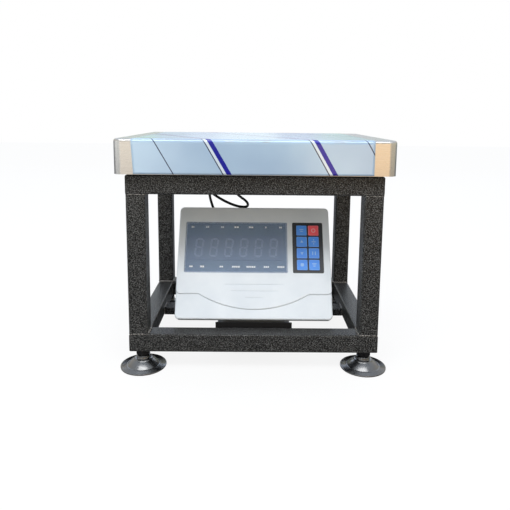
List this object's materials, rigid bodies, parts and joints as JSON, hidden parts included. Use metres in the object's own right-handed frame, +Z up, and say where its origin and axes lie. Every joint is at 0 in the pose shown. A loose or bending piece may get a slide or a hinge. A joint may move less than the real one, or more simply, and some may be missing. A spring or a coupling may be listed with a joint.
{
  "type": "platform scale",
  "caption": "Bench platform scale: a steel tube stand on screw feet carries a stainless pan on a load cell, with a tilting digital indicator inside the stand.",
  "frame": {"origin": "floor level under the middle of the frame", "axes": "+Z up, the front with the indicator faces -Y, +X to the right seen from the front"},
  "size_m": [0.405, 0.317, 0.3472],
  "materials": {
    "frame_paint": "hammertone powder coat, charcoal with brown flecks",
    "bracket_paint": "smooth black powder coat",
    "black_steel": "black oxide",
    "zinc_steel": "bright zinc plate",
    "foot_plastic": "glossy black moulded nylon",
    "cell_aluminium": "anodised, milled",
    "pad_rubber": "moulded rubber",
    "pan_steel": "polished stainless sheet",
    "film_plastic": "pale blue polyethylene film with dark blue stripes",
    "housing_plastic": "moulded ABS with a fine grain",
    "lens_plastic": "smoked acrylic",
    "digit_plastic": "black moulded plastic",
    "board_laminate": "green solder mask on glass laminate",
    "keypad_plastic": "dark grey textured polyester",
    "key_blue": "embossed blue polyester",
    "key_red": "embossed red polyester",
    "battery_case": "moulded ABS",
    "cable_black": "black PVC jacket",
    "knob_plastic": "black moulded nylon"
  },
  "bodies": {
    "frame": {"top_rail_front": "frame_paint", "top_rail_rear": "frame_paint", "top_rail_left": "frame_paint", "top_rail_right": "frame_paint", "bottom_rail_front": "frame_paint", "bottom_rail_rear": "frame_paint", "bottom_rail_left": "frame_paint", "bottom_rail_right": "frame_paint", "post_front_left": "frame_paint", "post_front_right": "frame_paint", "post_rear_left": "frame_paint", "post_rear_right": "frame_paint", "lower_crossbar": "frame_paint", "foot_nuts": "black_steel", "indicator_bracket": "bracket_paint", "bracket_screws": "zinc_steel", "load_cell_beam": "frame_paint", "load_cell": "cell_aluminium", "cell_spacer_lower": "zinc_steel", "cell_bolts_lower": "zinc_steel", "overload_stops": "zinc_steel", "cable_clip": "knob_plastic", "load_cell_cable": "cable_black"},
    "pan_carrier": {"cell_spacer_upper": "zinc_steel", "cell_bolts_upper": "zinc_steel", "spider_spine": "frame_paint", "spider_arm_left": "frame_paint", "spider_arm_right": "frame_paint", "pan_pads": "pad_rubber"},
    "pan": {"weighing_pan": "pan_steel", "protective_film": "film_plastic"},
    "indicator": {"front_cover": "housing_plastic", "rear_cover": "housing_plastic", "display_lens": "lens_plastic", "digit_display": "digit_plastic", "main_board": "board_laminate", "keypad_panel": "keypad_plastic", "battery": "battery_case", "charging_socket": "digit_plastic", "cover_screws": "zinc_steel", "cable_gland": "cable_black"},
    "knob_left": {"tilt_knob_left": "knob_plastic"},
    "knob_right": {"tilt_knob_right": "knob_plastic"},
    "pad_front_left": {"foot_pad_front_left": "foot_plastic"},
    "stud_front_left": {"foot_stud_front_left": "black_steel"},
    "pad_front_right": {"foot_pad_front_right": "foot_plastic"},
    "stud_front_right": {"foot_stud_front_right": "black_steel"},
    "pad_rear_left": {"foot_pad_rear_left": "foot_plastic"},
    "stud_rear_left": {"foot_stud_rear_left": "black_steel"},
    "pad_rear_right": {"foot_pad_rear_right": "foot_plastic"},
    "stud_rear_right": {"foot_stud_rear_right": "black_steel"},
    "key_1": {"key_1": "key_blue"},
    "key_2": {"key_2": "key_red"},
    "key_3": {"key_3": "key_blue"},
    "key_4": {"key_4": "key_blue"},
    "key_5": {"key_5": "key_blue"},
    "key_6": {"key_6": "key_blue"},
    "key_7": {"key_7": "key_blue"},
    "key_8": {"key_8": "key_blue"}
  },
  "joints": [
    {"name": "weighing_deflection", "type": "slide", "parent": "frame", "child": "pan_carrier", "axis": [0, 0, 1], "range_m": [-0.0005, 0], "stiffness_N_per_m": 600000, "deforming": ["load_cell"]},
    {"name": "pan_lift_off", "type": "slide", "parent": "pan_carrier", "child": "pan", "axis": [0, 0, 1], "range_m": [0, 0.08]},
    {"name": "indicator_tilt", "type": "hinge", "parent": "frame", "child": "indicator", "pos_m": [0, -0.015, 0.092], "axis": [1, 0, 0], "range_deg": [-8, 3], "deforming": ["load_cell_cable"]},
    {"name": "knob_left_turn", "type": "hinge", "parent": "indicator", "child": "knob_left", "pos_m": [-0.0591, -0.015, 0.092], "axis": [-1, 0, 0], "range_deg": [0, 180]},
    {"name": "knob_right_turn", "type": "hinge", "parent": "indicator", "child": "knob_right", "pos_m": [0.0591, -0.015, 0.092], "axis": [1, 0, 0], "range_deg": [0, 180]},
    {"name": "foot_front_left_height", "type": "slide", "parent": "frame", "child": "pad_front_left", "axis": [0, 0, -1], "range_m": [0, 0.012]},
    {"name": "foot_front_left_turn", "type": "hinge", "parent": "pad_front_left", "child": "stud_front_left", "pos_m": [-0.168, -0.124, 0.02], "axis": [0, 0, -1], "range_deg": [-1, 2469.6]},
    {"name": "foot_front_right_height", "type": "slide", "parent": "frame", "child": "pad_front_right", "axis": [0, 0, -1], "range_m": [0, 0.012]},
    {"name": "foot_front_right_turn", "type": "hinge", "parent": "pad_front_right", "child": "stud_front_right", "pos_m": [0.168, -0.124, 0.02], "axis": [0, 0, -1], "range_deg": [-1, 2469.6]},
    {"name": "foot_rear_left_height", "type": "slide", "parent": "frame", "child": "pad_rear_left", "axis": [0, 0, -1], "range_m": [0, 0.012]},
    {"name": "foot_rear_left_turn", "type": "hinge", "parent": "pad_rear_left", "child": "stud_rear_left", "pos_m": [-0.168, 0.124, 0.02], "axis": [0, 0, -1], "range_deg": [-1, 2469.6]},
    {"name": "foot_rear_right_height", "type": "slide", "parent": "frame", "child": "pad_rear_right", "axis": [0, 0, -1], "range_m": [0, 0.012]},
    {"name": "foot_rear_right_turn", "type": "hinge", "parent": "pad_rear_right", "child": "stud_rear_right", "pos_m": [0.168, 0.124, 0.02], "axis": [0, 0, -1], "range_deg": [-1, 2469.6]},
    {"name": "key_1_press", "type": "slide", "parent": "indicator", "child": "key_1", "axis": [0, 0.8755, -0.4833], "range_m": [0, 0.0004], "stiffness_N_per_m": 4000},
    {"name": "key_2_press", "type": "slide", "parent": "indicator", "child": "key_2", "axis": [0, 0.8755, -0.4833], "range_m": [0, 0.0004], "stiffness_N_per_m": 4000},
    {"name": "key_3_press", "type": "slide", "parent": "indicator", "child": "key_3", "axis": [0, 0.8755, -0.4833], "range_m": [0, 0.0004], "stiffness_N_per_m": 4000},
    {"name": "key_4_press", "type": "slide", "parent": "indicator", "child": "key_4", "axis": [0, 0.8755, -0.4833], "range_m": [0, 0.0004], "stiffness_N_per_m": 4000},
    {"name": "key_5_press", "type": "slide", "parent": "indicator", "child": "key_5", "axis": [0, 0.8755, -0.4833], "range_m": [0, 0.0004], "stiffness_N_per_m": 4000},
    {"name": "key_6_press", "type": "slide", "parent": "indicator", "child": "key_6", "axis": [0, 0.8755, -0.4833], "range_m": [0, 0.0004], "stiffness_N_per_m": 4000},
    {"name": "key_7_press", "type": "slide", "parent": "indicator", "child": "key_7", "axis": [0, 0.8755, -0.4833], "range_m": [0, 0.0004], "stiffness_N_per_m": 4000},
    {"name": "key_8_press", "type": "slide", "parent": "indicator", "child": "key_8", "axis": [0, 0.8755, -0.4833], "range_m": [0, 0.0004], "stiffness_N_per_m": 4000}
  ],
  "couplings": [
    {"joint": "foot_front_left_turn", "follows": "foot_front_left_height", "rad_per_m": 3590.4},
    {"joint": "foot_front_right_turn", "follows": "foot_front_right_height", "rad_per_m": 3590.4},
    {"joint": "foot_rear_left_turn", "follows": "foot_rear_left_height", "rad_per_m": 3590.4},
    {"joint": "foot_rear_right_turn", "follows": "foot_rear_right_height", "rad_per_m": 3590.4}
  ]
}
